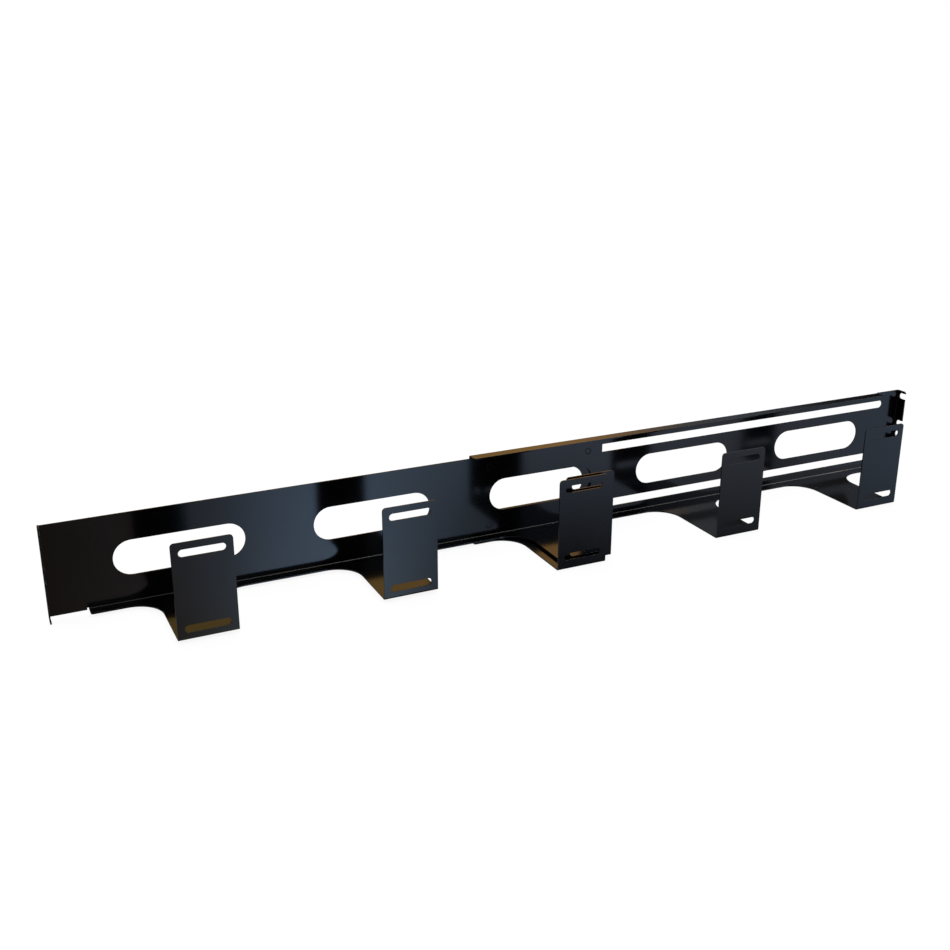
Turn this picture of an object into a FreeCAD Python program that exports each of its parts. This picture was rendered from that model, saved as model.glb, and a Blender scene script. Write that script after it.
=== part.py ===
"""Telescoping front-to-rear cable manager for a two-unit rack space.

Two folded sheet-steel trays of opposite hand slide into each other along X. Each has an upright
plate, a bottom flange, shelves that turn up into cable tabs, and an end flange with open notches
for the rack's screws. Studs pressed into the inner plate pass through two long slots in the outer
plate, with a washer and a nut behind.

Every tray is drawn in its own frame: X from the outer face of its end flange, Y from the front face
of its plate towards the back, Z from the middle of the rack space. The assembly stands on Z = 0,
centred in X and Y.
"""
import FreeCAD, Part
import math
import os

import Sketcher
from FreeCAD import Vector

DRIVING_SIZES = (
    ("sheet_thick", 1.2, "steel sheet of both trays"),
    ("bend_radius", 0.6, "inside radius of every bend"),
    ("nest_gap", 0.9, "inner plate's back to outer plate's front"),
    ("rail_gap", 1.475, "inner tray to each flange of the outer tray"),
    ("notch_far", 38.1, "mid-height to the outer rack screws"),
    ("notch_near", 6.35, "mid-height to the inner rack screws"),
    ("notch_height", 6.7, "clear height of a rack notch"),
    ("notch_root", 2.7, "plate's front face to a notch's round end"),
    ("lug_arm", 2.5, "end flange left beyond the outer notches"),
    ("lug_depth", 11.4, "plate's front face to the end flange's free edge"),
    ("lug_round", 5.5, "curve from the inner end flange's arms down to its plate"),
    ("lug_corner", 2.0, "rounding of the end flange's free corners"),
    ("end_margin", 114.1, "end flange to the middle of the first bay"),
    ("bay_pitch", 177.8, "middle to middle of two bays"),
    ("bay_count", 3, "bays on one tray"),
    ("tail_length", 68.3, "middle of the last bay to the free end"),
    ("opening_length", 114.6, "obround cable opening, end to end"),
    ("opening_height", 32.1, "obround cable opening, across"),
    ("shelf_width", 50.5, "shelf and tab along the tray"),
    ("shelf_root", 25.7, "concave curve from a shelf into the flange"),
    ("inner_reach", 91.5, "inner plate's front face to its tabs' front face"),
    ("tab_gap", 4.23, "inner tab's front to outer tab's back"),
    ("tab_rise", 2.5, "tab's top above the inner plate's top"),
    ("tab_corner", 3.2, "rounding of a tab's top corners"),
    ("strap_length", 38.4, "strap slot in a tab, end to end"),
    ("strap_height", 6.6, "strap slot in a tab, across"),
    ("strap_drop", 9.3, "tab's top to the middle of its upper strap slot"),
    ("strap_lift", 9.65, "inner tray's underside to the middle of the lower strap slots"),
    ("flange_depth", 11.0, "plate's front face to a long flange's free edge"),
    ("flange_corner", 2.2, "rounding of a long flange's free corners"),
    ("stub_length", 33.0, "end flange to where the long flanges start"),
    ("relief_width", 1.4, "cut that frees a long flange's bend from the stub"),
    ("relief_past", 0.2, "that cut beyond the bend"),
    ("track_offset", 30.2, "mid-height to the middle of an adjusting slot"),
    ("track_height", 8.4, "adjusting slot, across"),
    ("track_end", 23.4, "outer tray's end flange to its adjusting slots"),
    ("track_free", 12.5, "adjusting slots to the outer tray's free end"),
    ("track_spare", 5.0, "slide left between the far studs and their slots' ends"),
    ("stud_inset", 16.6, "inner tray's free end to its near studs"),
    ("stud_spacing", 109.4, "near studs to far studs"),
    ("stud_wide", 5.0, "stud's shank"),
    ("stud_head", 6.4, "stud's flush head"),
    ("stud_head_thick", 0.8, "stud's flush head, front to back"),
    ("stud_recess", 0.1, "head below the plate's front face"),
    ("stud_fit", 0.05, "plate to stud all round"),
    ("stud_tip", 1.2, "stud past its nut"),
    ("stud_chamfer", 0.6, "chamfer at the stud's end"),
    ("washer_wide", 15.0, "washer that bridges the slot"),
    ("washer_thick", 1.2, "washer, front to back"),
    ("washer_fit", 0.15, "washer to stud all round"),
    ("clamp_gap", 0.3, "loosened washer to the outer plate's back"),
    ("nut_flats", 8.0, "hex nut across its flats"),
    ("nut_height", 4.0, "hex nut, front to back"),
)

DERIVED_SIZES = (
    ("lug_half", "notch_far + notch_height / 2 + lug_arm"),
    ("inner_half", "lug_half - sheet_thick - rail_gap"),
    ("notch_centre", "notch_root + notch_height / 2"),
    ("tab_top", "inner_half + tab_rise"),
    ("strap_upper", "tab_top - strap_drop"),
    ("strap_lower", "strap_lift - inner_half"),
    ("relief_height", "sheet_thick + bend_radius + relief_past"),
    ("bay_run", "(bay_count - 1) * bay_pitch"),
    ("tray_length", "end_margin + bay_run + tail_length"),
    ("stud_far_inset", "stud_inset + stud_spacing"),
    ("overlap", "stud_far_inset + stud_wide / 2 + track_spare + track_free"),
    ("overall_length", "2 * tray_length - overlap"),
    ("outer_setback", "sheet_thick + nest_gap"),
    ("outer_reach", "inner_reach + tab_gap + sheet_thick + outer_setback"),
    ("washer_face", "outer_setback + sheet_thick + clamp_gap"),
    ("nut_face", "washer_face + washer_thick"),
    ("stud_end", "nut_face + nut_height + stud_tip"),
    ("nut_corner", "nut_flats / sqrt(3)"),
    ("plate_place", "(outer_reach - outer_setback - stud_end) / 2"),
)

SKETCH_AXES = {axis: -place for place, axis in enumerate(("across", "up"), start=1)}
POINTS = {point: place for place, point in enumerate(("start", "end", "centre"), start=1)}
SKETCH_ORIGIN = (SKETCH_AXES["across"], POINTS["start"])
SIDES = {"below": -1, "above": 1}
TOLERANCE = 1e-4
NUT_CHAMFER_SLOPE = math.tan(math.radians(30))
STUD_PLACES = [
    (inset, level)
    for level in ("Sizes.track_offset", "-Sizes.track_offset")
    for inset in ("Sizes.stud_inset", "Sizes.stud_far_inset")
]

doc = FreeCAD.newDocument("cable_manager")
sheet = doc.addObject("Spreadsheet::Sheet", "Sizes")


def fill_sheet():
    """Write the driving sizes as numbers and the rest as formulas of them."""
    for row, (alias, number, note) in enumerate(DRIVING_SIZES, start=1):
        sheet.set(f"A{row}", note)
        sheet.set(f"B{row}", str(number))
        sheet.setAlias(f"B{row}", alias)
    first = len(DRIVING_SIZES) + 1
    for row, (alias, formula) in enumerate(DERIVED_SIZES, start=first):
        sheet.set(f"B{row}", f"={formula}")
        sheet.setAlias(f"B{row}", alias)
    doc.recompute()


def size(expression):
    """The number that an expression of sheet sizes stands for."""
    return float(sheet.evalExpression(expression))


class Outline:
    """A sketch on one of its body's origin planes, with every point tied to the sheet."""

    def __init__(self, body, name, role, lift=None):
        plane = next(part for part in body.Origin.OriginFeatures if part.Role == role)
        self.sketch = body.newObject("Sketcher::SketchObject", name)
        self.sketch.AttachmentSupport = [(plane, "")]
        self.sketch.MapMode = "FlatFace"
        if lift is not None:
            self.sketch.setExpression("AttachmentOffset.Base.z", lift)

    def tie(self, kind, *items):
        """Add a constraint, whose last item is an expression of sheet sizes."""
        expression = items[-1]
        number = self.sketch.addConstraint(Sketcher.Constraint(kind, *items[:-1], size(expression)))
        self.sketch.setExpression(f"Constraints[{number}]", expression)

    def pin(self, line, point, across, up):
        """Fix a point of a line or arc at two expressions."""
        for kind, expression, axis in (("DistanceX", across, "up"), ("DistanceY", up, "across")):
            if abs(size(expression)) < TOLERANCE:
                on_axis = (line, point, SKETCH_AXES[axis])
                self.sketch.addConstraint(Sketcher.Constraint("PointOnObject", *on_axis))
            else:
                self.tie(kind, *SKETCH_ORIGIN, line, point, expression)

    def polygon(self, corners):
        """Draw straight sides through corners given as pairs of expressions."""
        points = [Vector(size(across), size(up), 0) for across, up in corners]
        ends = points[1:] + points[:1]
        sides = [
            self.sketch.addGeometry(Part.LineSegment(start, end), False)
            for start, end in zip(points, ends)
        ]
        for side, following in zip(sides, sides[1:] + sides[:1]):
            joint = (side, POINTS["end"], following, POINTS["start"])
            self.sketch.addConstraint(Sketcher.Constraint("Coincident", *joint))
        for side, (across, up) in zip(sides, corners):
            self.pin(side, POINTS["start"], across, up)

    def rectangle(self, left, low, right, high):
        """Draw an upright rectangle between four expressions."""
        self.polygon(((left, low), (right, low), (right, high), (left, high)))

    def circle(self, across, up, diameter):
        """Draw a circle of the given diameter."""
        middle = Vector(size(across), size(up), 0)
        curve = Part.Circle(middle, Vector(0, 0, 1), size(diameter) / 2)
        line = self.sketch.addGeometry(curve, False)
        self.pin(line, POINTS["centre"], across, up)
        self.tie("Diameter", line, diameter)

    def obround(self, left, right, up, height):
        """Draw a slot with round ends between left and right, about the line at up."""
        low_centre = f"{left} + {height} / 2"
        high_centre = f"{right} - {height} / 2"
        radius = size(height) / 2
        near = Vector(size(low_centre), size(up), 0)
        far = Vector(size(high_centre), size(up), 0)
        rise = Vector(0, radius, 0)
        upright = Vector(0, 0, 1)
        quarter = math.pi / 2
        shapes = (
            Part.ArcOfCircle(Part.Circle(near, upright, radius), quarter, 3 * quarter),
            Part.ArcOfCircle(Part.Circle(far, upright, radius), -quarter, quarter),
            Part.LineSegment(near + rise, far + rise),
            Part.LineSegment(near - rise, far - rise),
        )
        near_end, far_end, top, base = (self.sketch.addGeometry(shape, False) for shape in shapes)
        start, end, centre = POINTS["start"], POINTS["end"], POINTS["centre"]
        near_joints = ((near_end, start, top, start), (near_end, end, base, start))
        far_joints = ((far_end, start, base, end), (far_end, end, top, end))
        for joint in near_joints + far_joints:
            self.sketch.addConstraint(Sketcher.Constraint("Tangent", *joint))
        self.sketch.addConstraint(Sketcher.Constraint("Equal", near_end, far_end))
        self.sketch.addConstraint(Sketcher.Constraint("Horizontal", top))
        self.pin(near_end, centre, low_centre, up)
        self.tie("DistanceX", *SKETCH_ORIGIN, far_end, centre, high_centre)
        self.tie("Radius", near_end, f"{height} / 2")


def pad(body, name, outline, length, backwards=False):
    """Add material from an outline."""
    feature = body.newObject("PartDesign::Pad", name)
    feature.Profile = outline.sketch
    feature.setExpression("Length", length)
    feature.Reversed = backwards
    feature.Refine = True
    doc.recompute()
    return feature


def pocket(body, name, outline, length, backwards=False):
    """Cut an outline out of the body, and make sure that it took material away."""
    before = body.Shape.Volume
    feature = body.newObject("PartDesign::Pocket", name)
    feature.Profile = outline.sketch
    feature.setExpression("Length", length)
    feature.Reversed = backwards
    feature.Refine = True
    doc.recompute()
    if feature.Shape.Volume > before - TOLERANCE:
        raise RuntimeError(f"{body.Label}: {name} cuts nothing")
    return feature


def turn(body, name, outline, kind="PartDesign::Revolution"):
    """Turn an outline a full circle about its body's Y axis."""
    feature = body.newObject(kind, name)
    feature.Profile = outline.sketch
    feature.ReferenceAxis = (outline.sketch, ["V_Axis"])
    feature.Angle = 360
    doc.recompute()


def repeat_along(body, name, features, length, count):
    """Repeat features along X."""
    pattern = body.newObject("PartDesign::LinearPattern", name)
    pattern.Originals = features
    pattern.Direction = (next(part for part in body.Origin.OriginFeatures if part.Role == "X_Axis"), [""])
    pattern.setExpression("Length", length)
    pattern.setExpression("Occurrences", count)
    body.Tip = pattern
    doc.recompute()


def round_edges(body, name, radius, along, wanted):
    """Round the straight edges along one axis whose middles pass the test."""
    base = body.Tip
    names = []
    for number, edge in enumerate(base.Shape.Edges, start=1):
        run = edge.Vertexes[-1].Point - edge.Vertexes[0].Point
        if abs(abs(getattr(run, along)) - edge.Length) < TOLERANCE and wanted(edge.CenterOfMass):
            names.append(f"Edge{number}")
    if not names:
        raise RuntimeError(f"{body.Label}: {name} finds no edge")
    feature = body.newObject("PartDesign::Fillet", name)
    feature.Base = (base, names)
    feature.setExpression("Radius", radius)
    doc.recompute()


def near(number, *others):
    """Whether a number equals any of the others."""
    return any(abs(number - other) < TOLERANCE for other in others)


def about_bay(width):
    """Two expressions, left and right of the first bay's middle, that are a width apart."""
    return f"Sizes.end_margin - {width} / 2", f"Sizes.end_margin + {width} / 2"


def make_tray(label, half, reach):
    """Fold one tray's plate, bottom flange, shelves, tabs and end flange, still with sharp bends."""
    body = doc.addObject("PartDesign::Body", label)

    lug = Outline(body, "lug_outline", "YZ_Plane")
    lug_back = "Sizes.lug_round - Sizes.notch_centre"
    lug.rectangle("-Sizes.lug_depth", "-Sizes.lug_half", lug_back, "Sizes.lug_half")
    pad(body, "lug", lug, "Sizes.sheet_thick")
    round_edges(body, "lug_backs", "Sizes.lug_round", "x", lambda at: near(at.y, size(lug_back)))
    neck = Outline(body, "neck_outline", "YZ_Plane")
    neck.rectangle("-Sizes.notch_centre", f"-{half}", "Sizes.sheet_thick", half)
    pad(body, "neck", neck, "Sizes.sheet_thick")

    plate = Outline(body, "plate_outline", "XZ_Plane")
    plate.rectangle("0", f"-{half}", "Sizes.tray_length", half)
    pad(body, "plate", plate, "Sizes.sheet_thick", backwards=True)

    notches = Outline(body, "notch_outline", "YZ_Plane")
    beyond = "-Sizes.lug_depth - Sizes.notch_height"
    for level in ("Sizes.notch_far", "Sizes.notch_near", "-Sizes.notch_near", "-Sizes.notch_far"):
        notches.obround(beyond, "-Sizes.notch_root", level, "Sizes.notch_height")
    pocket(body, "notches", notches, "Sizes.sheet_thick", backwards=True)

    add_long_flange(body, "bottom", f"-{half}", f"-{half}", f"-{half} + Sizes.relief_height")

    left, right = about_bay("Sizes.shelf_width")
    shelf = Outline(body, "shelf_outline", "XY_Plane", lift=f"-{half}")
    shelf.rectangle(left, f"-{reach}", right, "0")
    shelf_pad = pad(body, "shelf", shelf, "Sizes.sheet_thick")

    tab = Outline(body, "tab_outline", "XZ_Plane", lift=reach)
    tab.rectangle(left, f"-{half}", right, "Sizes.tab_top")
    strap_left, strap_right = about_bay("Sizes.strap_length")
    for level in ("Sizes.strap_upper", "Sizes.strap_lower"):
        tab.obround(strap_left, strap_right, level, "Sizes.strap_height")
    tab_pad = pad(body, "tab", tab, "Sizes.sheet_thick", backwards=True)

    opening = Outline(body, "opening_outline", "XZ_Plane")
    opening.obround(*about_bay("Sizes.opening_length"), "0", "Sizes.opening_height")
    opening_cut = pocket(body, "opening", opening, "Sizes.sheet_thick")

    repeat_along(body, "bays", [shelf_pad, tab_pad, opening_cut], "Sizes.bay_run", "Sizes.bay_count")
    return body


def add_long_flange(body, name, underside, relief_low, relief_high):
    """Add a flange along the plate, with a cut that frees its bend from the stub."""
    flange = Outline(body, f"{name}_flange_outline", "XY_Plane", lift=underside)
    flange.rectangle("Sizes.stub_length", "-Sizes.flange_depth", "Sizes.tray_length", "Sizes.sheet_thick")
    pad(body, f"{name}_flange", flange, "Sizes.sheet_thick")
    relief = Outline(body, f"{name}_relief_outline", "XZ_Plane")
    relief.rectangle("Sizes.stub_length - Sizes.relief_width", relief_low, "Sizes.stub_length", relief_high)
    pocket(body, f"{name}_relief", relief, "Sizes.sheet_thick")


def round_tray(body, half, reach, folded_sides):
    """Round a tray's free corners, the roots of its shelves, and its bends inside and out."""
    thick = size("Sizes.sheet_thick")
    edge = size(half)
    front = size(reach)
    stub = size("Sizes.stub_length")
    depth = size("Sizes.flange_depth")
    lug_front = size("Sizes.lug_depth")
    free_end = size("Sizes.tray_length")
    tab_top = size("Sizes.tab_top")

    round_edges(body, "shelf_roots", "Sizes.shelf_root", "z",
                lambda at: near(at.y, -depth) and not near(at.x, stub, free_end) and at.x > stub)
    round_edges(body, "flange_corners", "Sizes.flange_corner", "z",
                lambda at: near(at.y, -depth) and near(at.x, stub, free_end))
    round_edges(body, "tab_corners", "Sizes.tab_corner", "y",
                lambda at: near(at.z, tab_top) and at.y < -depth)
    round_edges(body, "lug_corners", "Sizes.lug_corner", "x",
                lambda at: near(at.y, -lug_front) and near(abs(at.z), size("Sizes.lug_half")))

    insides = [SIDES[side] * (edge - thick) for side in folded_sides]
    outsides = [SIDES[side] * edge for side in folded_sides]
    round_edges(body, "long_bends_inside", "Sizes.bend_radius", "x",
                lambda at: near(at.y, 0, thick - front) and near(at.z, *insides))
    round_edges(body, "end_bend_inside", "Sizes.bend_radius", "z",
                lambda at: near(at.x, thick) and near(at.y, 0))
    outside = "Sizes.bend_radius + Sizes.sheet_thick"
    round_edges(body, "long_bends_outside", outside, "x",
                lambda at: near(at.y, thick, -front) and near(at.z, *outsides) and at.x > stub)
    round_edges(body, "end_bend_outside", outside, "z",
                lambda at: near(at.x, 0) and near(at.y, thick))


def make_inner_tray():
    """The narrower tray, with holes and seats for the clamp studs."""
    body = make_tray("inner_tray", "Sizes.inner_half", "Sizes.inner_reach")
    round_tray(body, "Sizes.inner_half", "Sizes.inner_reach", ("below",))
    places = [(f"Sizes.tray_length - {inset}", level) for inset, level in STUD_PLACES]

    holes = Outline(body, "stud_holes_outline", "XZ_Plane")
    for across, up in places:
        holes.circle(across, up, "Sizes.stud_wide + 2 * Sizes.stud_fit")
    pocket(body, "stud_holes", holes, "Sizes.sheet_thick")

    seats = Outline(body, "stud_seats_outline", "XZ_Plane")
    for across, up in places:
        seats.circle(across, up, "Sizes.stud_head + 2 * Sizes.stud_fit")
    pocket(body, "stud_seats", seats, "Sizes.stud_recess + Sizes.stud_head_thick")

    body.setExpression("Placement.Base.x", "-Sizes.overall_length / 2")
    body.setExpression("Placement.Base.y", "Sizes.plate_place")
    body.setExpression("Placement.Base.z", "Sizes.lug_half")
    return body


def make_outer_tray():
    """The wider tray, of the other hand, with a top flange and the adjusting slots."""
    body = make_tray("outer_tray_left_hand", "Sizes.lug_half", "Sizes.outer_reach")
    add_long_flange(body, "top", "Sizes.lug_half - Sizes.sheet_thick",
                    "Sizes.lug_half - Sizes.relief_height", "Sizes.lug_half")
    tracks = Outline(body, "track_outline", "XZ_Plane")
    track_stop = "Sizes.tray_length - Sizes.track_free"
    for level in ("Sizes.track_offset", "-Sizes.track_offset"):
        tracks.obround("Sizes.track_end", track_stop, level, "Sizes.track_height")
    pocket(body, "tracks", tracks, "Sizes.sheet_thick")
    round_tray(body, "Sizes.lug_half", "Sizes.outer_reach", ("below", "above"))
    body.setExpression("Placement.Base.y", "Sizes.plate_place + Sizes.outer_setback")
    body.setExpression("Placement.Base.z", "Sizes.lug_half")

    mirrored = doc.addObject("Part::Mirroring", "outer_tray")
    mirrored.Source = body
    mirrored.Normal = Vector(1, 0, 0)
    mirrored.setExpression("Base.x", "Sizes.overall_length / 4")
    doc.recompute()
    return mirrored


def make_stud(label):
    """A clinch stud with a thin flush head, from the plate's front face backwards."""
    body = doc.addObject("PartDesign::Body", label)
    shank = "Sizes.stud_wide / 2"
    seat = "Sizes.stud_recess + Sizes.stud_head_thick"
    profile = Outline(body, "profile", "XY_Plane")
    profile.polygon((
        ("0", "Sizes.stud_recess"),
        ("Sizes.stud_head / 2", "Sizes.stud_recess"),
        ("Sizes.stud_head / 2", seat),
        (shank, seat),
        (shank, "Sizes.stud_end - Sizes.stud_chamfer"),
        (f"{shank} - Sizes.stud_chamfer", "Sizes.stud_end"),
        ("0", "Sizes.stud_end"),
    ))
    turn(body, "stud", profile)
    return body


def make_washer(label):
    """A flat washer, wide enough to bridge an adjusting slot."""
    body = doc.addObject("PartDesign::Body", label)
    bore = "Sizes.stud_wide / 2 + Sizes.washer_fit"
    rim = "Sizes.washer_wide / 2"
    back = "Sizes.washer_face + Sizes.washer_thick"
    profile = Outline(body, "profile", "XY_Plane")
    profile.rectangle(bore, "Sizes.washer_face", rim, back)
    turn(body, "washer", profile)
    return body


def make_nut(label):
    """A hex nut with its back corners turned off, on the washer's back face."""
    body = doc.addObject("PartDesign::Body", label)
    hexagon = Outline(body, "hexagon", "XZ_Plane", lift="-Sizes.nut_face")
    hexagon.polygon([
        (f"Sizes.nut_corner * cos({angle} deg)", f"Sizes.nut_corner * sin({angle} deg)")
        for angle in range(0, 360, 60)
    ])
    hexagon.circle("0", "0", "Sizes.stud_wide")
    pad(body, "nut", hexagon, "Sizes.nut_height", backwards=True)

    back = "Sizes.nut_face + Sizes.nut_height"
    flat = "Sizes.nut_flats / 2"
    beyond = "Sizes.nut_flats"
    fall = f"{flat} * {NUT_CHAMFER_SLOPE:.5f}"
    corner = Outline(body, "corner_profile", "XY_Plane")
    corner.polygon(((flat, back), (beyond, f"{back} - {fall}"), (beyond, back)))
    turn(body, "corners", corner, kind="PartDesign::Groove")
    return body


def place_on_stud(body, inset, level):
    """Put a fastener piece on the axis of one clamp stud."""
    body.setExpression("Placement.Base.x", f"Sizes.tray_length - {inset} - Sizes.overall_length / 2")
    body.setExpression("Placement.Base.y", "Sizes.plate_place")
    body.setExpression("Placement.Base.z", f"Sizes.lug_half + {level}")


def make_fasteners():
    """One stud, washer and nut at each clamp place."""
    pieces = []
    makers = (("clamp_stud", make_stud), ("clamp_washer", make_washer), ("clamp_nut", make_nut))
    for name, make in makers:
        for number, (inset, level) in enumerate(STUD_PLACES, start=1):
            body = make(f"{name}_{number}")
            place_on_stud(body, inset, level)
            pieces.append(body)
    return pieces


def check_document(pieces):
    """Stop if anything failed to rebuild, or a piece isn't one sound solid."""
    doc.recompute()
    for item in doc.Objects:
        if {"Invalid", "Error"} & set(item.State):
            raise RuntimeError(f"{item.Label} failed to rebuild: {item.State}")
    for piece in pieces:
        shape = piece.Shape
        if shape.isNull() or not shape.isValid() or len(shape.Solids) != 1:
            raise RuntimeError(f"{piece.Label} isn't one sound solid")


def write_parts(pieces):
    """Write one STEP file for each piece, named by its label."""
    os.makedirs("parts", exist_ok=True)
    for piece in pieces:
        piece.Shape.exportStep(os.path.join("parts", f"{piece.Label}.step"))


fill_sheet()
all_pieces = [make_inner_tray(), make_outer_tray()] + make_fasteners()
check_document(all_pieces)
write_parts(all_pieces)
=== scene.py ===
"""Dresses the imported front-to-rear cable manager and sets it in a plain white studio.

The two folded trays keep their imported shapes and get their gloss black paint. The four clamp studs are made
again with chamfered rims and rolled threads, and the washers and nuts get their bright zinc plate.
"""
import logging
import math
from dataclasses import dataclass
from enum import Enum

import bpy
from mathutils import Euler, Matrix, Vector


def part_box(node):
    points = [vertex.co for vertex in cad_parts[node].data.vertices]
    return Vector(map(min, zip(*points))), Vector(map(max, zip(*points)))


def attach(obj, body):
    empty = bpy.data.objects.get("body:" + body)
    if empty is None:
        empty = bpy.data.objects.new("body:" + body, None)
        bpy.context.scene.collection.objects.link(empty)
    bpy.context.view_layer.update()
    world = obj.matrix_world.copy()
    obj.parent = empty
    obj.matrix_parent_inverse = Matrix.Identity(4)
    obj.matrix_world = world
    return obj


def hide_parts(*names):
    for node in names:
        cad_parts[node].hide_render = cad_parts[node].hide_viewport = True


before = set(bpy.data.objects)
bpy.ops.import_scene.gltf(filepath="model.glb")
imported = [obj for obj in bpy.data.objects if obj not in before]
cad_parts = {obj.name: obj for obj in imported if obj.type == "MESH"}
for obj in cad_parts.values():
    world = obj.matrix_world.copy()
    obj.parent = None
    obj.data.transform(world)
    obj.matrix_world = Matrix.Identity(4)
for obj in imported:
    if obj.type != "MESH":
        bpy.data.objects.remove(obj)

LOG = logging.getLogger("cable_manager")
MM = 0.001
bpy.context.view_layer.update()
FULL_TURN = 360
QUARTER_TURN = 90
WHITE = (1.0, 1.0, 1.0, 1.0)
BEVEL_SAMPLES = 4
# nearly all of a noise's values lie between these two
NOISE_LOW = 0.3
NOISE_HIGH = 0.7

Colour = tuple[float, float, float, float]
Tree = bpy.types.NodeTree
Socket = bpy.types.NodeSocket
Outputs = bpy.types.NodeOutputs


class Body(Enum):
    """The two halves that slide on each other."""

    OUTER = "outer"
    INNER = "inner"


class Slot(Enum):
    """The record's material slots."""

    PAINT = "gloss_black_paint"
    ZINC = "zinc_plated_steel"


def linear(colour: str, level: float = 1.0) -> Colour:
    """Turns an sRGB hex colour to linear light.

    Args:
        colour: six hex digits after a hash.
        level: how many times brighter the colour is drawn.

    Returns:
        Red, green, blue and a full alpha.
    """
    parts = [int(colour[i:i + 2], 16) / 255 for i in (1, 3, 5)]
    # the sRGB curve is straight near black and a power above that
    light = [p / 12.92 if p <= 0.04045 else ((p + 0.055) / 1.055) ** 2.4 for p in parts]
    return (*(level * v for v in light), 1.0)


def on_ramp(bearing: float) -> float:
    """Turns a compass bearing in degrees to its place on a ramp, from 0 to 1."""
    return bearing / FULL_TURN + 0.5


def add_node(
    tree: Tree, kind: str, inputs: dict[str | int, object] | None = None, **settings: object
) -> bpy.types.Node:
    """Adds one node to a tree.

    Args:
        tree: the tree that takes the node.
        kind: the node's type name.
        inputs: what each input gets, by name or place: another node's output, or a plain value.
        settings: the node's own properties.

    Returns:
        The new node.
    """
    node = tree.nodes.new(kind)
    for name, value in settings.items():
        setattr(node, name, value)
    for key, value in (inputs or {}).items():
        if isinstance(value, Socket):
            tree.links.new(value, node.inputs[key])
        else:
            node.inputs[key].default_value = value
    return node


def fill_ramp(node: bpy.types.Node, stops: list[tuple[float, Colour]]) -> None:
    """Sets a colour ramp's stops.

    Args:
        node: the ramp.
        stops: the place from 0 to 1 and the colour of each stop, in order.
    """
    elements = node.color_ramp.elements
    while len(elements) < len(stops):
        elements.new(1.0)
    for element, (place, colour) in zip(elements, stops):
        element.position = place
        element.color = colour


def new_material(name: str) -> tuple[bpy.types.Material, Tree]:
    """Makes an empty node material.

    Args:
        name: the finish's name.

    Returns:
        The material and its empty tree.
    """
    material = bpy.data.materials.new(name)
    material.use_nodes = True
    material.node_tree.nodes.clear()
    return material, material.node_tree


def put_material(piece: bpy.types.Object, material: bpy.types.Material) -> None:
    """Makes a finish the only one on a piece.

    Args:
        piece: what is covered.
        material: the finish.
    """
    if not piece.data.materials:
        piece.data.materials.append(material)
    for place in range(len(piece.data.materials)):
        piece.data.materials[place] = material


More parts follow.
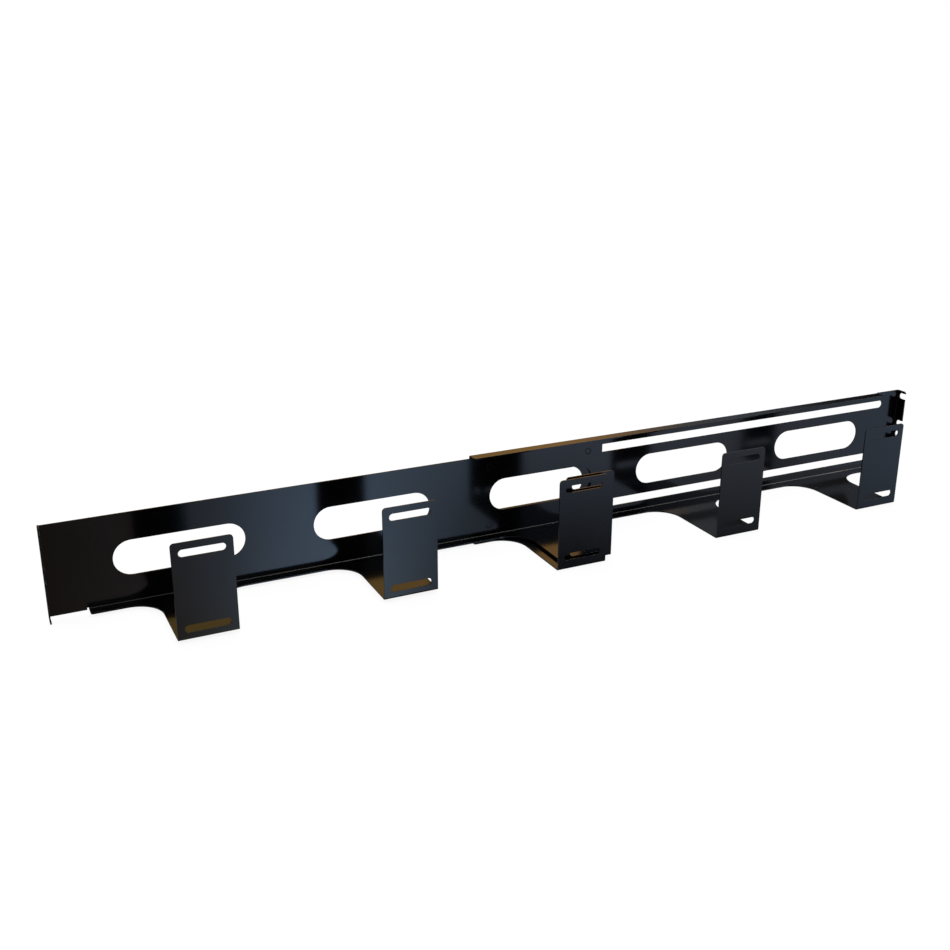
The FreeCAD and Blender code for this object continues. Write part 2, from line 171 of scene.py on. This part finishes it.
@dataclass(frozen=True)
class GlossBlackPaint:
    """Stoved gloss black paint on folded steel.

    A deep black with a soft mirror in it. Close to, the film has a faint orange peel and a few nibs of dust,
    and it is a little uneven in gloss. It draws thin over the cut edges, which it rounds, so that they catch
    the light.
    """

    name: str = Slot.PAINT.value
    colour: str = "#020203"
    edge_colour: str = "#1b1612"
    ior: float = 1.5
    roughness: float = 0.142
    roughness_swing: float = 0.02
    edge_dulling: float = 0.12
    edge_lean_start: float = 0.97
    edge_lean_full: float = 0.75
    film_round_mm: float = 0.2
    peel_mm: float = 2.2
    peel_depth_mm: float = 0.002
    sheen_patch_mm: float = 70.0
    nib_mm: float = 9.0
    nib_reach: float = 0.035
    nib_height: float = 1.6

    def make(self) -> bpy.types.Material:
        """Builds the material.

        Returns:
            The paint.
        """
        material, tree = new_material(self.name)
        place = add_node(tree, "ShaderNodeTexCoord").outputs["Object"]
        film = add_node(tree, "ShaderNodeBevel", {"Radius": self.film_round_mm * MM}, samples=BEVEL_SAMPLES)
        rounded = film.outputs[0]
        edge = self.edge_mask(tree, rounded)
        colour = add_node(tree, "ShaderNodeMix", {
            0: edge, 6: linear(self.colour), 7: linear(self.edge_colour),
        }, data_type="RGBA")
        shader = add_node(tree, "ShaderNodeBsdfPrincipled", {
            "Base Color": colour.outputs[2],
            "Roughness": self.gloss(tree, place, edge),
            "Normal": self.peel(tree, place, rounded),
            "IOR": self.ior,
        })
        add_node(tree, "ShaderNodeOutputMaterial", {"Surface": shader.outputs[0]})
        return material

    def edge_mask(self, tree: Tree, rounded: Socket) -> Socket:
        """Finds the cut edges, where the rounded film leans away from the face.

        Args:
            tree: the material's tree.
            rounded: the rounded film's normal.

        Returns:
            A mask, 1 on the edges.
        """
        flat = add_node(tree, "ShaderNodeNewGeometry").outputs["True Normal"]
        lean = add_node(tree, "ShaderNodeVectorMath", {0: rounded, 1: flat}, operation="DOT_PRODUCT")
        return add_node(tree, "ShaderNodeMapRange", {
            "Value": lean.outputs["Value"],
            "From Min": self.edge_lean_start, "From Max": self.edge_lean_full,
            "To Min": 0.0, "To Max": 1.0,
        }).outputs[0]

    def gloss(self, tree: Tree, place: Socket, edge: Socket) -> Socket:
        """Makes the gloss uneven in wide patches, and duller on the edges.

        Args:
            tree: the material's tree.
            place: where a point is on the piece.
            edge: the mask of the edges.

        Returns:
            The roughness.
        """
        patches = add_node(tree, "ShaderNodeTexNoise", {
            "Vector": place, "Scale": 1.0 / (self.sheen_patch_mm * MM), "Detail": 3.0, "Roughness": 0.55,
        })
        even = add_node(tree, "ShaderNodeMapRange", {
            "Value": patches.outputs[0], "From Min": NOISE_LOW, "From Max": NOISE_HIGH,
            "To Min": self.roughness - self.roughness_swing,
            "To Max": self.roughness + self.roughness_swing,
        })
        return add_node(tree, "ShaderNodeMath", {0: edge, 1: self.edge_dulling, 2: even.outputs[0]},
                        operation="MULTIPLY_ADD").outputs[0]

    def peel(self, tree: Tree, place: Socket, rounded: Socket) -> Socket:
        """Gives the film its orange peel and its nibs of dust.

        Args:
            tree: the material's tree.
            place: where a point is on the piece.
            rounded: the rounded film's normal.

        Returns:
            The bumped normal.
        """
        ripple = add_node(tree, "ShaderNodeTexNoise", {
            "Vector": place, "Scale": 1.0 / (self.peel_mm * MM), "Detail": 1.0, "Roughness": 0.4,
        })
        dust = add_node(tree, "ShaderNodeTexVoronoi", {"Vector": place, "Scale": 1.0 / (self.nib_mm * MM)})
        nib = add_node(tree, "ShaderNodeMapRange", {
            "Value": dust.outputs["Distance"], "From Min": 0.0, "From Max": self.nib_reach,
            "To Min": self.nib_height, "To Max": 0.0,
        }, interpolation_type="SMOOTHSTEP")
        height = add_node(tree, "ShaderNodeMath", {0: ripple.outputs[0], 1: nib.outputs[0]},
                          operation="ADD")
        return add_node(tree, "ShaderNodeBump", {
            "Strength": 1.0, "Distance": self.peel_depth_mm * MM, "Height": height.outputs[0],
            "Normal": rounded,
        }).outputs[0]


@dataclass(frozen=True)
class BrightZincPlate:
    """Clear zinc plate on turned and stamped steel.

    A cool silver, cloudy from the bath, so that it scatters a share of its light. It has fine marks all over
    and faint straw-coloured patches.
    """

    name: str = Slot.ZINC.value
    colour: str = "#b9bfc4"
    straw: str = "#bdb7a4"
    roughness: float = 0.34
    roughness_below: float = 0.07
    roughness_above: float = 0.1
    metallic: float = 0.8
    cloud_mm: float = 3.5
    mark_mm: float = 0.25
    mark_depth_mm: float = 0.004
    mark_strength: float = 0.6
    round_mm: float = 0.25

    def make(self) -> bpy.types.Material:
        """Builds the material. The marks are drawn coarser than real ones, so that they show.

        Returns:
            The zinc plate.
        """
        material, tree = new_material(self.name)
        place = add_node(tree, "ShaderNodeTexCoord").outputs["Object"]
        cloud = add_node(tree, "ShaderNodeTexNoise", {
            "Vector": place, "Scale": 1.0 / (self.cloud_mm * MM), "Detail": 4.0, "Roughness": 0.6,
        }).outputs[0]
        colour = add_node(tree, "ShaderNodeMix", {0: cloud, 6: linear(self.colour), 7: linear(self.straw)},
                          data_type="RGBA")
        dull = add_node(tree, "ShaderNodeMapRange", {
            "Value": cloud, "From Min": NOISE_LOW, "From Max": NOISE_HIGH,
            "To Min": self.roughness - self.roughness_below,
            "To Max": self.roughness + self.roughness_above,
        })
        marks = add_node(tree, "ShaderNodeTexNoise", {
            "Vector": place, "Scale": 1.0 / (self.mark_mm * MM), "Detail": 2.0,
        })
        rounded = add_node(tree, "ShaderNodeBevel", {"Radius": self.round_mm * MM}, samples=BEVEL_SAMPLES)
        bump = add_node(tree, "ShaderNodeBump", {
            "Strength": self.mark_strength, "Distance": self.mark_depth_mm * MM,
            "Height": marks.outputs[0], "Normal": rounded.outputs[0],
        })
        shader = add_node(tree, "ShaderNodeBsdfPrincipled", {
            "Base Color": colour.outputs[2], "Metallic": self.metallic, "Roughness": dull.outputs[0],
            "Normal": bump.outputs[0],
        })
        add_node(tree, "ShaderNodeOutputMaterial", {"Surface": shader.outputs[0]})
        return material


@dataclass(frozen=True)
class WhiteLightTable:
    """A white acrylic table lit evenly from below, very faintly clouded, which takes only a pale shadow."""

    name: str = "white_light_table"
    colour: str = "#fafafa"
    clouded: str = "#f4f4f4"
    cloud_m: float = 1.25
    glow_level: float = 1.02
    shadow_share: float = 0.12

    def make(self) -> bpy.types.Material:
        """Builds the material.

        Returns:
            The table's top.
        """
        material, tree = new_material(self.name)
        place = add_node(tree, "ShaderNodeTexCoord").outputs["Object"]
        cloud = add_node(tree, "ShaderNodeTexNoise", {
            "Vector": place, "Scale": 1.0 / self.cloud_m, "Detail": 2.0,
        }).outputs[0]
        colour = add_node(tree, "ShaderNodeMix", {
            0: cloud, 6: linear(self.colour), 7: linear(self.clouded),
        }, data_type="RGBA")
        top = add_node(tree, "ShaderNodeBsdfDiffuse", {"Color": colour.outputs[2]})
        glow = add_node(tree, "ShaderNodeEmission", {"Strength": self.glow_level})
        shader = add_node(tree, "ShaderNodeMixShader", {
            0: self.shadow_share, 1: glow.outputs[0], 2: top.outputs[0],
        })
        add_node(tree, "ShaderNodeOutputMaterial", {"Surface": shader.outputs[0]})
        return material


@dataclass
class FoldedTrays:
    """The two folded sheet trays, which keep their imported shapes."""

    nodes: tuple[tuple[Body, str], ...] = ((Body.INNER, "inner_tray"), (Body.OUTER, "outer_tray"))

    def dress(self, paint: bpy.types.Material) -> None:
        """Paints both trays.

        Args:
            paint: the gloss black paint.
        """
        for body, name in self.nodes:
            put_material(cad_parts[name], paint)
            LOG.info("painted %s of the %s body", name, body.value)


@dataclass
class ClampStuds:
    """The four flush-head clinch studs that hold the trays together.

    Their heads have chamfered rims, and their threads are rolled.
    """

    nodes: tuple[str, ...] = ("clamp_stud_1", "clamp_stud_2", "clamp_stud_3", "clamp_stud_4")
    head_radius_mm: float = 3.2
    head_height_mm: float = 0.8
    rim_mm: float = 0.6
    crest_radius_mm: float = 2.5
    ridge_mm: float = 0.32
    root_ridges: float = 1.4
    pitch_mm: float = 0.8
    plain_length_mm: float = 2.2
    tip_mm: float = 0.6
    sides: int = 48
    turn_points: int = 32
    ridge_sides: int = 3

    def length(self) -> float:
        """The whole length of a stud in metres, as packed."""
        low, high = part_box(self.nodes[0])
        return high.y - low.y

    def heads(self) -> list[Vector]:
        """The middle of each head's outer face."""
        boxes = [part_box(name) for name in self.nodes]
        return [Vector(((low.x + high.x) / 2, low.y, (low.z + high.z) / 2)) for low, high in boxes]

    def sizes(self) -> dict[str, float]:
        """Works out the sizes of one stud.

        Returns:
            The tree's named inputs, in metres and turns.
        """
        thread = self.length() - (self.plain_length_mm + self.tip_mm / 2) * MM
        return {
            "Length": self.length(),
            "Head Radius": self.head_radius_mm * MM,
            "Head Height": self.head_height_mm * MM,
            "Rim Size": self.rim_mm * MM,
            "Root Radius": (self.crest_radius_mm - self.root_ridges * self.ridge_mm) * MM,
            "Ridge Line": (self.crest_radius_mm - self.ridge_mm) * MM,
            "Ridge Size": self.ridge_mm * MM,
            "Thread Start": self.plain_length_mm * MM,
            "Thread Length": thread,
            "Thread Turns": thread / (self.pitch_mm * MM),
            "Tip Height": self.tip_mm * MM,
        }

    def tree(self, sizes: dict[str, float]) -> Tree:
        """Builds the geometry nodes that make one stud and repeat it.

        Args:
            sizes: the named inputs.

        Returns:
            The tree.
        """
        tree = bpy.data.node_groups.new("clamp_stud_set", "GeometryNodeTree")
        tree.interface.new_socket("Heads", in_out="INPUT", socket_type="NodeSocketGeometry")
        for name in sizes:
            tree.interface.new_socket(name, in_out="INPUT", socket_type="NodeSocketFloat")
        tree.interface.new_socket("Paint", in_out="INPUT", socket_type="NodeSocketMaterial")
        tree.interface.new_socket("Studs", in_out="OUTPUT", socket_type="NodeSocketGeometry")
        given = add_node(tree, "NodeGroupInput").outputs
        parts = [make(tree, given) for make in (self.head, self.shank, self.tip, self.thread)]
        stud = add_node(tree, "GeometryNodeJoinGeometry")
        for part in parts:
            tree.links.new(part, stud.inputs[0])
        studs = add_node(tree, "GeometryNodeInstanceOnPoints", {
            "Points": given["Heads"], "Instance": stud.outputs[0], "Rotation": (-math.pi / 2, 0.0, 0.0),
        })
        real = add_node(tree, "GeometryNodeRealizeInstances", {0: studs.outputs[0]})
        painted = add_node(tree, "GeometryNodeSetMaterial", {
            "Geometry": real.outputs[0], "Material": given["Paint"],
        })
        add_node(tree, "NodeGroupOutput", {0: painted.outputs[0]})
        return tree

    def lifted(self, tree: Tree, shape: Socket, height: Socket) -> Socket:
        """Moves a shape up the stud.

        Args:
            tree: the studs' tree.
            shape: what moves.
            height: how far it moves.

        Returns:
            The moved shape.
        """
        up = add_node(tree, "ShaderNodeCombineXYZ", {"Z": height})
        return add_node(tree, "GeometryNodeTransform", {
            "Geometry": shape, "Translation": up.outputs[0],
        }).outputs[0]

    def head(self, tree: Tree, given: Outputs) -> Socket:
        """Makes the flat round head. Its chamfered rim leaves a fine dark ring in the plate.

        Args:
            tree: the studs' tree.
            given: the named inputs.

        Returns:
            The head.
        """
        face = add_node(tree, "ShaderNodeMath", {0: given["Head Radius"], 1: given["Rim Size"]},
                        operation="SUBTRACT")
        rim = add_node(tree, "GeometryNodeMeshCone", {
            "Vertices": self.sides, "Radius Top": given["Head Radius"], "Radius Bottom": face.outputs[0],
            "Depth": given["Rim Size"],
        })
        rest = add_node(tree, "ShaderNodeMath", {0: given["Head Height"], 1: given["Rim Size"]},
                        operation="SUBTRACT")
        disc = add_node(tree, "GeometryNodeMeshCylinder", {
            "Vertices": self.sides, "Radius": given["Head Radius"], "Depth": rest.outputs[0],
        })
        middle = add_node(tree, "ShaderNodeMath", {0: rest.outputs[0], 1: 0.5, 2: given["Rim Size"]},
                          operation="MULTIPLY_ADD")
        head = add_node(tree, "GeometryNodeJoinGeometry")
        for part in (rim.outputs["Mesh"], self.lifted(tree, disc.outputs["Mesh"], middle.outputs[0])):
            tree.links.new(part, head.inputs[0])
        return head.outputs[0]

    def shank(self, tree: Tree, given: Outputs) -> Socket:
        """Makes the shank at the root of the thread, from inside the head up to the tip.

        Args:
            tree: the studs' tree.
            given: the named inputs.

        Returns:
            The shank.
        """
        inside = add_node(tree, "ShaderNodeMath", {0: given["Head Height"], 1: 0.5}, operation="MULTIPLY")
        end = add_node(tree, "ShaderNodeMath", {0: given["Length"], 1: given["Tip Height"]},
                       operation="SUBTRACT")
        run = add_node(tree, "ShaderNodeMath", {0: end.outputs[0], 1: inside.outputs[0]},
                       operation="SUBTRACT")
        rod = add_node(tree, "GeometryNodeMeshCylinder", {
            "Vertices": self.sides, "Radius": given["Root Radius"], "Depth": run.outputs[0],
        })
        middle = add_node(tree, "ShaderNodeMath", {0: run.outputs[0], 1: 0.5, 2: inside.outputs[0]},
                          operation="MULTIPLY_ADD")
        return self.lifted(tree, rod.outputs["Mesh"], middle.outputs[0])

    def tip(self, tree: Tree, given: Outputs) -> Socket:
        """Makes the chamfered tip.

        Args:
            tree: the studs' tree.
            given: the named inputs.

        Returns:
            The tip.
        """
        small = add_node(tree, "ShaderNodeMath", {0: given["Root Radius"], 1: given["Tip Height"]},
                         operation="SUBTRACT")
        cone = add_node(tree, "GeometryNodeMeshCone", {
            "Vertices": self.sides, "Radius Top": small.outputs[0], "Radius Bottom": given["Root Radius"],
            "Depth": given["Tip Height"],
        })
        start = add_node(tree, "ShaderNodeMath", {0: given["Length"], 1: given["Tip Height"]},
                         operation="SUBTRACT")
        return self.lifted(tree, cone.outputs["Mesh"], start.outputs[0])

    def thread(self, tree: Tree, given: Outputs) -> Socket:
        """Winds a three-sided ridge round the shank.

        Args:
            tree: the studs' tree.
            given: the named inputs.

        Returns:
            The thread.
        """
        line = add_node(tree, "GeometryNodeCurveSpiral", {
            "Resolution": self.turn_points, "Rotations": given["Thread Turns"],
            "Start Radius": given["Ridge Line"], "End Radius": given["Ridge Line"],
            "Height": given["Thread Length"],
        })
        upright = add_node(tree, "GeometryNodeSetCurveNormal", {"Curve": line.outputs[0]})
        ridge = add_node(tree, "GeometryNodeCurvePrimitiveCircle", {
            "Resolution": self.ridge_sides, "Radius": given["Ridge Size"],
        })
        wound = add_node(tree, "GeometryNodeCurveToMesh", {
            "Curve": upright.outputs[0], "Profile Curve": ridge.outputs[0], "Fill Caps": True,
        })
        return self.lifted(tree, wound.outputs[0], given["Thread Start"])

    def build(self, paint: bpy.types.Material) -> bpy.types.Object:
        """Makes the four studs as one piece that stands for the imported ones.

        Args:
            paint: the gloss black paint.

        Returns:
            The studs.
        """
        points = bpy.data.meshes.new("stud_heads")
        points.from_pydata(self.heads(), [], [])
        maker = bpy.data.objects.new("stud_maker", points)
        bpy.context.scene.collection.objects.link(maker)
        sizes = self.sizes()
        tree = self.tree(sizes)
        modifier = maker.modifiers.new("studs", "NODES")
        modifier.node_group = tree
        values = {**sizes, "Paint": paint}
        for socket in tree.interface.items_tree:
            if socket.in_out == "INPUT" and socket.name in values:
                modifier[socket.identifier] = values[socket.name]
        seen = maker.evaluated_get(bpy.context.evaluated_depsgraph_get())
        mesh = bpy.data.meshes.new_from_object(seen)
        bpy.data.objects.remove(maker)
        bpy.data.meshes.remove(points)
        studs = bpy.data.objects.new("clamp_studs", mesh)
        bpy.context.scene.collection.objects.link(studs)
        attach(studs, Body.INNER.value)
        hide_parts(*self.nodes)
        LOG.info("made %s with %d faces", studs.name, len(mesh.polygons))
        return studs


@dataclass
class ClampFasteners:
    """The washers and nuts behind the plates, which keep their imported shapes."""

    washers: tuple[str, ...] = ("clamp_washer_1", "clamp_washer_2", "clamp_washer_3", "clamp_washer_4")
    nuts: tuple[str, ...] = ("clamp_nut_1", "clamp_nut_2", "clamp_nut_3", "clamp_nut_4")

    def dress(self, zinc: bpy.types.Material) -> None:
        """Plates the washers and nuts.

        Args:
            zinc: the bright zinc plate.
        """
        for name in self.washers + self.nuts:
            put_material(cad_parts[name], zinc)
        LOG.info("plated %d washers and %d nuts", len(self.washers), len(self.nuts))


@dataclass(frozen=True)
class Glow:
    """The room's light at one angle: round the compass from straight behind the part, or up from level."""

    angle: float
    colour: str
    level: float


@dataclass(frozen=True)
class Shade:
    """A side of the room that changes with height.

    The change grows from the first bearing to the second, and fades from the third to the fourth.
    """

    bearings: tuple[float, float, float, float]
    low: Glow
    high: Glow


@dataclass
class Studio:
    """A white room. In the paint's mirror it shows a cool window in front and a warm wall behind."""

    floor_drop_mm: float = 0.4
    floor_half_m: float = 20.0
    # a ramp's colours stop at 1, so the room's levels are kept as shares of this one
    full_level: float = 16.0
    plain_level: float = 1.0
    ceiling: str = "#95979b"
    lens_mm: float = 44.96
    sensor_mm: float = 36.0
    near_clip_m: float = 0.01
    eye_m: tuple[float, float, float] = (-0.52691, -0.92061, 0.45254)
    pitch: float = 19.798
    yaw: float = 25.437
    top_size_m: float = 3.0
    top_height_m: float = 2.6
    top_power: float = 20.0

    # the elevations between which each ring gives way to the one above it
    low_to_high: tuple[float, float] = (-6, 6)
    high_to_top: tuple[float, float] = (38, 48)
    top_to_ceiling: tuple[float, float] = (70, 85)

    low_glows: tuple[Glow, ...] = (
        # the left side, with a pale blind
        Glow(-180, "#625850", 1.0),
        Glow(-140, "#5c5c60", 1.0),
        Glow(-66, "#94a4bc", 1.0),
        # behind the part, dim with one pale strip
        Glow(-50, "#767472", 1.0),
        Glow(-12, "#767472", 1.0),
        Glow(-6, "#332d29", 1.0),
        Glow(0, "#332d29", 1.0),
        Glow(10, "#a8bedc", 1.5),
        Glow(24, "#423f3e", 1.0),
        # the grey right side
        Glow(45, "#6c7178", 1.0),
        Glow(70, "#8792a0", 1.0),
        Glow(135, "#8a9cb4", 1.0),
        Glow(141, "#8b8f98", 1.0),
        # the cool window in front
        Glow(148, "#a2b0c8", 1.0),
        Glow(154, "#9caac2", 1.0),
        Glow(158, "#b2ceee", 1.92),
        Glow(162, "#b2d2f8", 2.65),
        Glow(164, "#b2d2f8", 2.35),
        Glow(167.5, "#a4aec0", 1.0),
        # the brown wall beside the window
        Glow(170, "#8e8684", 1.0),
        Glow(175, "#6a5d54", 1.0),
        Glow(180, "#625850", 1.0),
    )
    high_glows: tuple[Glow, ...] = (
        # the grey left side
        Glow(-180, "#8c8f94", 1.0),
        Glow(-120, "#8c8f94", 1.0),
        # the warm lit wall behind the part
        Glow(-70, "#80756a", 1.0),
        Glow(0, "#ab8c55", 1.0),
        Glow(10, "#bb9b59", 1.0),
        Glow(29, "#f3bc6f", 1.0),
        Glow(32, "#e8b477", 1.0),
        # its end, and a dark doorway
        Glow(36, "#70767b", 1.0),
        Glow(40, "#6e7883", 1.0),
        Glow(41.5, "#424144", 1.0),
        Glow(46, "#1c120c", 1.0),
        Glow(56, "#2a2522", 1.0),
        # the bright right side in front
        Glow(80, "#a7acb3", 1.0),
        Glow(115, "#ccd6e6", 1.8),
        Glow(130, "#dbe6f8", 3.0),
        Glow(139, "#dbe6f8", 3.0),
        Glow(142.5, "#c8d2e6", 1.3),
        Glow(147, "#b4c4e4", 0.9),
        Glow(160, "#8c8f94", 1.0),
        Glow(180, "#8c8f94", 1.0),
    )
    top_glows: tuple[Glow, ...] = (
        # a grey ceiling with one warm lamp at the right
        Glow(-180, "#95979b", 1.0),
        Glow(54, "#95979b", 1.0),
        Glow(68, "#cfc6ba", 1.5),
        Glow(78, "#fbf0de", 13.0),
        Glow(104, "#f6efe4", 11.0),
        Glow(118, "#b8bcc4", 2.0),
        Glow(160, "#95979b", 1.0),
        Glow(180, "#95979b", 1.0),
    )
    low_shades: tuple[Shade, ...] = (
        # the right side, which goes dark towards the floor
        Shade((105, 125, 153, 158.5), Glow(-23.4, "#fff0d8", 0.04), Glow(-18.4, "#ffffff", 1.93)),
        # the window, a little brighter towards the floor
        Shade((153, 158.5, 172, 180), Glow(-24.5, "#ffffff", 1.12), Glow(-19.5, "#ffffff", 0.9)),
        # behind the part, bright above a dim foot
        Shade((-60, -46, -4, 2), Glow(-16.5, "#ffffff", 1.0), Glow(-12.5, "#c8dcff", 3.0)),
        # the warm foot of the front wall
        Shade((105, 125, 150, 158), Glow(-24.5, "#ffd8a4", 1.0), Glow(-20.5, "#ffffff", 1.0)),
        Shade((150, 158, 176, 180), Glow(-29.0, "#ffdca8", 1.0), Glow(-25.0, "#ffffff", 1.0)),
    )

    def build(self) -> None:
        """Makes the floor, the light, the room and the camera."""
        self.lay_floor(WhiteLightTable().make())
        self.hang_light()
        self.light_room()
        self.place_camera()

    def lay_floor(self, finish: bpy.types.Material) -> None:
        """Lays the floor under the part. The paint's mirror doesn't show it.

        Args:
            finish: the floor's finish.
        """
        half = self.floor_half_m
        level = -self.floor_drop_mm * MM
        mesh = bpy.data.meshes.new("studio_floor")
        corners = [(-half, -half, level), (half, -half, level), (half, half, level), (-half, half, level)]
        mesh.from_pydata(corners, [], [(0, 1, 2, 3)])
        floor = bpy.data.objects.new("studio_floor", mesh)
        bpy.context.scene.collection.objects.link(floor)
        put_material(floor, finish)
        floor.visible_glossy = False

    def hang_light(self) -> None:
        """Hangs one wide soft box over the part."""
        light = bpy.data.lights.new("top_soft_box", "AREA")
        light.size = self.top_size_m
        light.energy = self.top_power
        lamp = bpy.data.objects.new("top_soft_box", light)
        lamp.location = (0.0, 0.0, self.top_height_m)
        bpy.context.scene.collection.objects.link(lamp)

    def ramp_round(self, tree: Tree, bearing: Socket, glows: tuple[Glow, ...]) -> Socket:
        """Makes one ring of the room's light.

        Args:
            tree: the world's tree.
            bearing: the compass bearing, from 0 to 1.
            glows: the ring's colours.

        Returns:
            The ring's colour.
        """
        ramp = add_node(tree, "ShaderNodeValToRGB", {0: bearing})
        fill_ramp(ramp, [(on_ramp(g.angle), linear(g.colour, g.level / self.full_level)) for g in glows])
        return ramp.outputs[0]

    def light_room(self) -> None:
        """Makes the room.

        It is plain white to the eye and to the floor. In the gloss it has three rings of soft light.
        """
        world = bpy.data.worlds.new("studio_room")
        bpy.context.scene.world = world
        world.use_nodes = True
        world.cycles.sampling_method = "NONE"
        tree = world.node_tree
        tree.nodes.clear()
        way = add_node(tree, "ShaderNodeTexCoord").outputs["Generated"]
        parts = add_node(tree, "ShaderNodeSeparateXYZ", {0: way}).outputs
        turn = add_node(tree, "ShaderNodeMath", {0: parts["X"], 1: parts["Y"]}, operation="ARCTAN2")
        bearing = add_node(tree, "ShaderNodeMapRange", {
            "Value": turn.outputs[0], "From Min": -math.pi, "From Max": math.pi,
            "To Min": 0.0, "To Max": 1.0,
        }).outputs[0]
        rise = add_node(tree, "ShaderNodeMath", {0: parts["Z"]}, operation="ARCSINE").outputs[0]
        room = self.ramp_round(tree, bearing, self.low_glows)
        for shade in self.low_shades:
            room = self.shaded(tree, bearing, rise, room, shade)
        rings = (
            (self.low_to_high, self.ramp_round(tree, bearing, self.high_glows)),
            (self.high_to_top, self.ramp_round(tree, bearing, self.top_glows)),
            (self.top_to_ceiling, linear(self.ceiling, 1.0 / self.full_level)),
        )
        for (start, end), above in rings:
            fade = self.between(tree, rise, start, end)
            mixed = add_node(tree, "ShaderNodeMix", {0: fade, 6: room, 7: above}, data_type="RGBA")
            room = mixed.outputs[2]
        mirrored = add_node(tree, "ShaderNodeBackground", {"Color": room, "Strength": self.full_level})
        plain = add_node(tree, "ShaderNodeBackground", {"Color": WHITE, "Strength": self.plain_level})
        kind = add_node(tree, "ShaderNodeLightPath").outputs["Is Glossy Ray"]
        both = add_node(tree, "ShaderNodeMixShader", {0: kind, 1: plain.outputs[0], 2: mirrored.outputs[0]})
        add_node(tree, "ShaderNodeOutputWorld", {0: both.outputs[0]})

    def between(self, tree: Tree, rise: Socket, start: float, end: float) -> Socket:
        """Fades from 0 to 1 between two elevations.

        Args:
            tree: the world's tree.
            rise: the elevation, in radians.
            start: where the fade starts, in degrees.
            end: where the fade ends, in degrees.

        Returns:
            The fade.
        """
        return add_node(tree, "ShaderNodeMapRange", {
            "Value": rise, "From Min": math.radians(start), "From Max": math.radians(end),
            "To Min": 0.0, "To Max": 1.0,
        }, interpolation_type="SMOOTHSTEP").outputs[0]

    def shaded(self, tree: Tree, bearing: Socket, rise: Socket, colour: Socket, shade: Shade) -> Socket:
        """Changes a ring's light with height on one side of the room.

        Args:
            tree: the world's tree.
            bearing: the compass bearing, from 0 to 1.
            rise: the elevation, in radians.
            colour: the ring's colour.
            shade: the side and the change.

        Returns:
            The changed colour.
        """
        low = shade.low
        high = shade.high
        up = add_node(tree, "ShaderNodeMapRange", {
            "Value": rise, "From Min": math.radians(low.angle), "From Max": math.radians(high.angle),
            "To Min": 0.0, "To Max": 1.0,
        }).outputs[0]
        share = add_node(tree, "ShaderNodeMix", {
            0: up, 6: linear(low.colour, low.level), 7: linear(high.colour, high.level),
        }, data_type="RGBA").outputs[2]
        side = add_node(tree, "ShaderNodeValToRGB", {0: bearing})
        strengths = (0.0, 1.0, 1.0, 0.0)
        fill_ramp(side, [(on_ramp(b), (s, s, s, 1.0)) for b, s in zip(shade.bearings, strengths)])
        return add_node(tree, "ShaderNodeMix", {0: side.outputs[0], 6: colour, 7: share}, data_type="RGBA",
                        blend_type="MULTIPLY").outputs[2]

    def place_camera(self) -> None:
        """Puts the camera where the photograph was taken from."""
        data = bpy.data.cameras.new("photo_camera")
        data.sensor_width = self.sensor_mm
        data.lens = self.lens_mm
        data.clip_start = self.near_clip_m
        camera = bpy.data.objects.new("photo_camera", data)
        camera.location = self.eye_m
        tilt = math.radians(QUARTER_TURN - self.pitch)
        camera.rotation_euler = Euler((tilt, 0.0, math.radians(-self.yaw)))
        scene = bpy.context.scene
        scene.collection.objects.link(camera)
        scene.camera = camera
        scene.view_settings.view_transform = "Standard"


def main() -> None:
    """Builds every piece in order."""
    logging.basicConfig(level=logging.INFO, format="%(name)s: %(message)s")
    paint = GlossBlackPaint().make()
    zinc = BrightZincPlate().make()
    FoldedTrays().dress(paint)
    ClampStuds().build(paint)
    ClampFasteners().dress(zinc)
    Studio().build()


if __name__ == "__main__":
    main()
